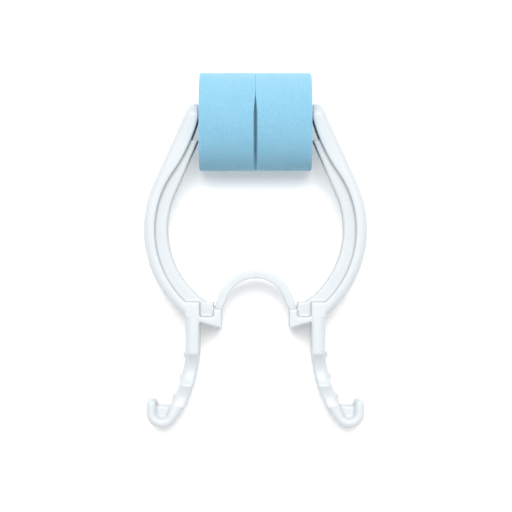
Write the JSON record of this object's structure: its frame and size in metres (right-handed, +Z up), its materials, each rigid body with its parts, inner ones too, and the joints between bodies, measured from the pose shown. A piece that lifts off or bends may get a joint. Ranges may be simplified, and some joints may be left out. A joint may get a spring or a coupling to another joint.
{
  "type": "nose clip",
  "caption": "Disposable spring nose clip in moulded plastic with bowed jaw arms, hooked finger handles, an arched spring bridge and round foam pads that press the nose shut.",
  "frame": {"origin": "bottom centre of the clip's bounding box as it lies flat, with the lowest side of the foam pads at Z = 0", "axes": "+Y from the finger handles to the foam pads, +X to the right jaw with the pads away from the viewer, +Z up from the table through the clip's depth"},
  "size_m": [0.0384, 0.0614, 0.017],
  "materials": {
    "white_plastic": "satin",
    "blue_foam": "matte",
    "adhesive_film": "satin"
  },
  "bodies": {
    "bridge": {"bridge_crown": "white_plastic", "left_bridge_leg": "white_plastic", "right_bridge_leg": "white_plastic"},
    "right_lever": {"right_jaw_arm": "white_plastic", "right_spring_foot": "white_plastic", "right_handle": "white_plastic", "right_finger_hook": "white_plastic", "right_foam_pad": "blue_foam", "right_pad_adhesive": "adhesive_film"},
    "left_lever": {"left_jaw_arm": "white_plastic", "left_spring_foot": "white_plastic", "left_handle": "white_plastic", "left_finger_hook": "white_plastic", "left_foam_pad": "blue_foam", "left_pad_adhesive": "adhesive_film"}
  },
  "joints": [
    {"name": "right_squeeze", "type": "hinge", "parent": "bridge", "child": "right_lever", "pos_m": [0.004, -0.0062, 0.0085], "axis": [0, 0, -1], "range_deg": [0, 20], "stiffness_Nm_per_rad": 0.2, "deforming": ["right_bridge_leg"]},
    {"name": "left_squeeze", "type": "hinge", "parent": "bridge", "child": "left_lever", "pos_m": [-0.004, -0.0062, 0.0085], "axis": [0, 0, 1], "range_deg": [0, 20], "stiffness_Nm_per_rad": 0.2, "deforming": ["left_bridge_leg"]}
  ],
  "couplings": [
    {"joint": "left_squeeze", "follows": "right_squeeze", "ratio": 1}
  ]
}
